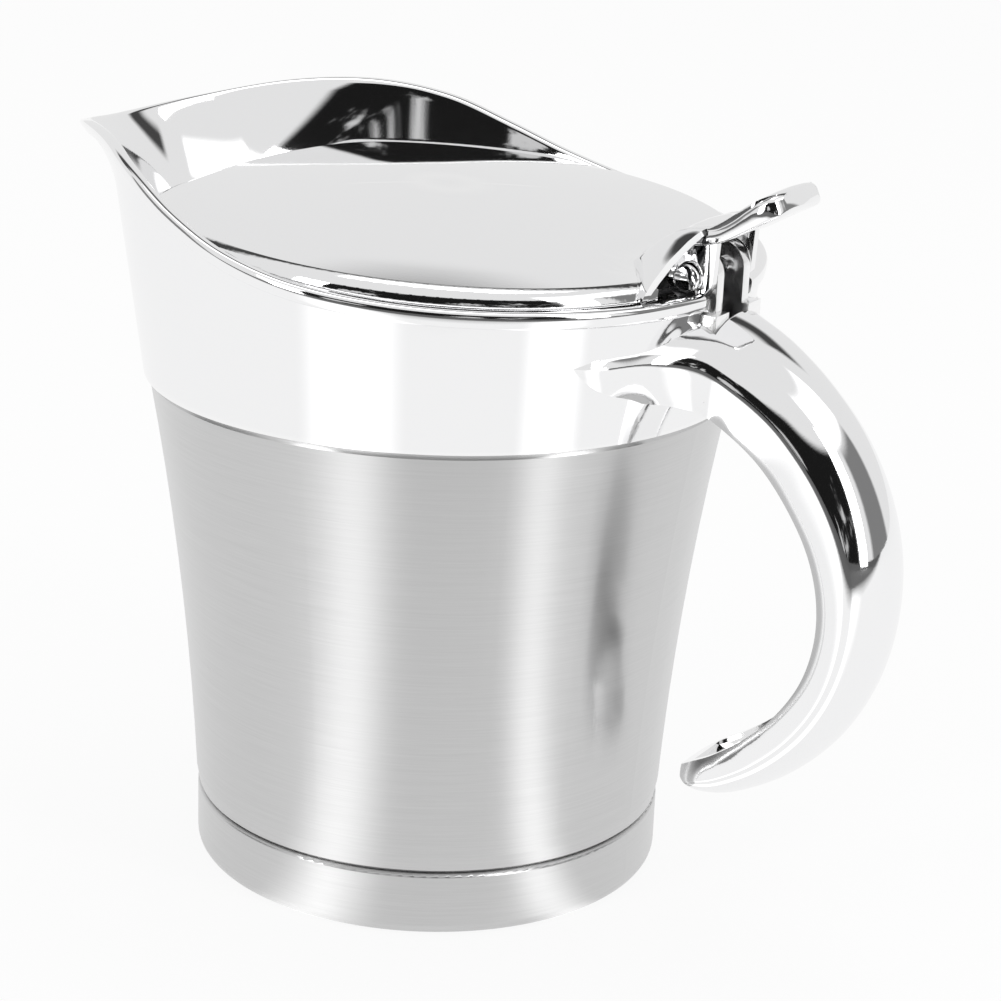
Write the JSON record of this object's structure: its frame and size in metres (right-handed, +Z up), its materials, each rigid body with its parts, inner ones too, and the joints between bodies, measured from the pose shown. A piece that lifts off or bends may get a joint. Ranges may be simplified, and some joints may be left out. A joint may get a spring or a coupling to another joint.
{
  "type": "seasoning pot",
  "caption": "Double-walled steel pot for gravy or seasoning, with a chromed pouring collar, a hooked side handle and a hinged lid opened by a thumb lever.",
  "frame": {"origin": "centre of the flat bottom that the pot stands on", "axes": "+Z up along the body's axis, +X towards the handle and hinge, -X towards the spout, +Y to the left seen from the handle"},
  "size_m": [0.1756, 0.121, 0.1405],
  "materials": {
    "brushed_steel": "brushed round the body",
    "polished_steel": "polished",
    "chrome": "mirror chrome plate",
    "screw_steel": "satin",
    "gasket": "matt silicone",
    "liner": "smooth moulded plastic"
  },
  "bodies": {
    "pot": {"base_cup": "brushed_steel", "outer_shell": "brushed_steel", "inner_vessel": "polished_steel", "rim_gasket": "gasket", "spout_collar": "chrome", "lid_seat_ring": "liner", "handle_shell": "chrome", "handle_cover": "chrome", "handle_screws": "screw_steel", "hinge_bracket": "chrome", "bracket_screws": "screw_steel"},
    "lid": {"lid_top": "chrome", "lid_liner": "liner", "thumb_lever": "chrome", "lever_screws": "screw_steel", "hinge_pin": "polished_steel"}
  },
  "joints": [
    {"name": "lid_hinge", "type": "hinge", "parent": "pot", "child": "lid", "pos_m": [0.055, 0, 0.1235], "axis": [0, 1, 0], "range_deg": [0, 70]}
  ]
}
